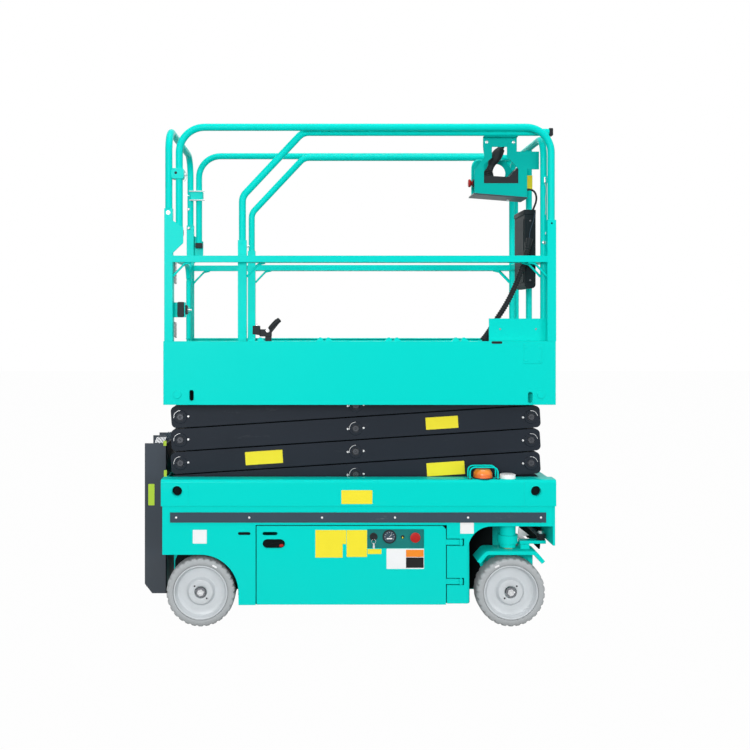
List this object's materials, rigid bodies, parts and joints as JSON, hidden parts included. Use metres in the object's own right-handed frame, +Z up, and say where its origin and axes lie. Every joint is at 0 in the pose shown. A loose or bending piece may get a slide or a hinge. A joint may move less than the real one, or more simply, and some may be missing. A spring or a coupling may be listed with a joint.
{
  "type": "slab scissor lift",
  "caption": "Compact electric scissor lift with folded arm stack, guard-railed platform, sliding deck extension, swing-out trays and steered front wheels.",
  "frame": {"origin": "on the ground below the middle of the machine's overall box", "axes": "+X towards the steered front, -Y towards the right side, +Z up"},
  "size_m": [1.85, 0.76, 2.231],
  "materials": {
    "turquoise_paint": "gloss enamel",
    "charcoal_paint": "semi-gloss enamel",
    "slate_strip": "satin",
    "grey_tyre": "matt non-marking compound",
    "silver_wheel": "satin silver enamel",
    "amber_lens": "gloss",
    "black_plastic": "fine grain",
    "dark_steel": "satin",
    "rod_chrome": "polished"
  },
  "bodies": {
    "chassis": {"chassis_frame": "turquoise_paint", "side_beams": "turquoise_paint", "tie_down_sockets": "turquoise_paint", "side_skirts": "turquoise_paint", "rub_strips": "slate_strip", "entry_ladder": "charcoal_paint", "beacon": "amber_lens", "beacon_guard": "turquoise_paint"},
    "door_right": {"door_right": "turquoise_paint", "ground_controls": "black_plastic", "power_unit": "black_plastic"},
    "door_left": {"door_left": "turquoise_paint", "battery_pack": "black_plastic"},
    "wheel_rear_right": {"tyre_rear_right": "grey_tyre", "rim_rear_right": "silver_wheel"},
    "wheel_rear_left": {"tyre_rear_left": "grey_tyre", "rim_rear_left": "silver_wheel"},
    "wheel_front_right": {"tyre_front_right": "grey_tyre", "rim_front_right": "silver_wheel"},
    "wheel_front_left": {"tyre_front_left": "grey_tyre", "rim_front_left": "silver_wheel"},
    "knuckle_right": {"knuckle_right": "turquoise_paint"},
    "knuckle_left": {"knuckle_left": "turquoise_paint"},
    "tie_rod": {"tie_rod": "dark_steel"},
    "lift_barrel": {"lift_barrel": "dark_steel"},
    "lift_rod": {"lift_rod": "rod_chrome"},
    "platform": {"platform_deck": "turquoise_paint", "side_rails": "turquoise_paint", "rear_frame": "turquoise_paint", "latch_lever": "black_plastic"},
    "entry_gate": {"entry_gate": "turquoise_paint"},
    "extension": {"extension_deck": "turquoise_paint", "extension_rails": "turquoise_paint", "control_cage": "turquoise_paint", "control_box": "black_plastic", "document_box": "black_plastic", "control_conduit": "black_plastic"},
    "outer_arm_1": {"outer_arm_1": "charcoal_paint"},
    "inner_arm_1": {"inner_arm_1": "charcoal_paint"},
    "outer_arm_2": {"outer_arm_2": "charcoal_paint"},
    "inner_arm_2": {"inner_arm_2": "charcoal_paint"},
    "outer_arm_3": {"outer_arm_3": "charcoal_paint"},
    "inner_arm_3": {"inner_arm_3": "charcoal_paint"},
    "outer_arm_4": {"outer_arm_4": "charcoal_paint"},
    "inner_arm_4": {"inner_arm_4": "charcoal_paint"}
  },
  "joints": [
    {"name": "scissor_lift", "type": "hinge", "parent": "chassis", "child": "outer_arm_1", "pos_m": [-0.751, 0, 0.607], "axis": [0, -1, 0], "range_deg": [0, 49.44]},
    {"name": "centre_pin_1", "type": "hinge", "parent": "outer_arm_1", "child": "inner_arm_1", "pos_m": [0.04329, 0, 0.6592], "axis": [0, 1, 0], "range_deg": [0, 98.88]},
    {"name": "left_pin_1", "type": "hinge", "parent": "inner_arm_1", "child": "outer_arm_2", "pos_m": [-0.751, 0, 0.7114], "axis": [0, -1, 0], "range_deg": [0, 98.88]},
    {"name": "centre_pin_2", "type": "hinge", "parent": "outer_arm_2", "child": "inner_arm_2", "pos_m": [0.04329, 0, 0.7636], "axis": [0, 1, 0], "range_deg": [0, 98.88]},
    {"name": "left_pin_2", "type": "hinge", "parent": "inner_arm_2", "child": "outer_arm_3", "pos_m": [-0.751, 0, 0.8158], "axis": [0, -1, 0], "range_deg": [0, 98.88]},
    {"name": "centre_pin_3", "type": "hinge", "parent": "outer_arm_3", "child": "inner_arm_3", "pos_m": [0.04329, 0, 0.868], "axis": [0, 1, 0], "range_deg": [0, 98.88]},
    {"name": "left_pin_3", "type": "hinge", "parent": "inner_arm_3", "child": "outer_arm_4", "pos_m": [-0.751, 0, 0.9202], "axis": [0, -1, 0], "range_deg": [0, 98.88]},
    {"name": "centre_pin_4", "type": "hinge", "parent": "outer_arm_4", "child": "inner_arm_4", "pos_m": [0.04329, 0, 0.9724], "axis": [0, 1, 0], "range_deg": [0, 98.88]},
    {"name": "platform_pin", "type": "hinge", "parent": "inner_arm_4", "child": "platform", "pos_m": [-0.751, 0, 1.0246], "axis": [0, -1, 0], "range_deg": [0, 49.44]},
    {"name": "lift_foot", "type": "hinge", "parent": "inner_arm_1", "child": "lift_barrel", "pos_m": [-0.62785, 0, 0.64318], "axis": [0, -1, 0], "range_deg": [0, 103.57]},
    {"name": "lift_stroke", "type": "slide", "parent": "lift_barrel", "child": "lift_rod", "axis": [0.9928, 0, 0.1196], "range_m": [0, 0.37159]},
    {"name": "deck_extension", "type": "slide", "parent": "platform", "child": "extension", "axis": [1, 0, 0], "range_m": [0, 0.905]},
    {"name": "gate_swing", "type": "hinge", "parent": "platform", "child": "entry_gate", "pos_m": [-0.7895, 0.285, 1.25], "axis": [0, 0, 1], "range_deg": [0, 88]},
    {"name": "door_right_swing", "type": "hinge", "parent": "chassis", "child": "door_right", "pos_m": [0.504, -0.371, 0.27], "axis": [0, 0, 1], "range_deg": [0, 100]},
    {"name": "door_left_swing", "type": "hinge", "parent": "chassis", "child": "door_left", "pos_m": [0.504, 0.371, 0.27], "axis": [0, 0, -1], "range_deg": [0, 100]},
    {"name": "steer_right", "type": "hinge", "parent": "chassis", "child": "knuckle_right", "pos_m": [0.726, -0.3, 0.35], "axis": [0, 0, 1], "range_deg": [-65, 65]},
    {"name": "steer_left", "type": "hinge", "parent": "chassis", "child": "knuckle_left", "pos_m": [0.726, 0.3, 0.35], "axis": [0, 0, 1], "range_deg": [-65, 65]},
    {"name": "tie_rod_pin", "type": "hinge", "parent": "knuckle_right", "child": "tie_rod", "pos_m": [0.876, -0.3, 0.38], "axis": [0, 0, -1], "range_deg": [-65, 65]},
    {"name": "wheel_rear_right", "type": "hinge", "parent": "chassis", "child": "wheel_rear_right", "pos_m": [-0.648, -0.328, 0.1525], "axis": [0, 1, 0], "continuous": true},
    {"name": "wheel_rear_left", "type": "hinge", "parent": "chassis", "child": "wheel_rear_left", "pos_m": [-0.648, 0.328, 0.1525], "axis": [0, 1, 0], "continuous": true},
    {"name": "wheel_front_right", "type": "hinge", "parent": "knuckle_right", "child": "wheel_front_right", "pos_m": [0.726, -0.328, 0.1525], "axis": [0, 1, 0], "continuous": true},
    {"name": "wheel_front_left", "type": "hinge", "parent": "knuckle_left", "child": "wheel_front_left", "pos_m": [0.726, 0.328, 0.1525], "axis": [0, 1, 0], "continuous": true}
  ],
  "couplings": [
    {"joint": "centre_pin_1", "follows": "scissor_lift", "ratio": 2},
    {"joint": "left_pin_1", "follows": "scissor_lift", "ratio": 2},
    {"joint": "centre_pin_2", "follows": "scissor_lift", "ratio": 2},
    {"joint": "left_pin_2", "follows": "scissor_lift", "ratio": 2},
    {"joint": "centre_pin_3", "follows": "scissor_lift", "ratio": 2},
    {"joint": "left_pin_3", "follows": "scissor_lift", "ratio": 2},
    {"joint": "centre_pin_4", "follows": "scissor_lift", "ratio": 2},
    {"joint": "platform_pin", "follows": "scissor_lift", "ratio": 1},
    {"joint": "lift_foot", "follows": "scissor_lift", "ratio": 2.0948},
    {"joint": "lift_stroke", "follows": "scissor_lift", "m_per_rad": 0.43051},
    {"joint": "steer_left", "follows": "steer_right", "ratio": 1},
    {"joint": "tie_rod_pin", "follows": "steer_right", "ratio": 1}
  ]
}
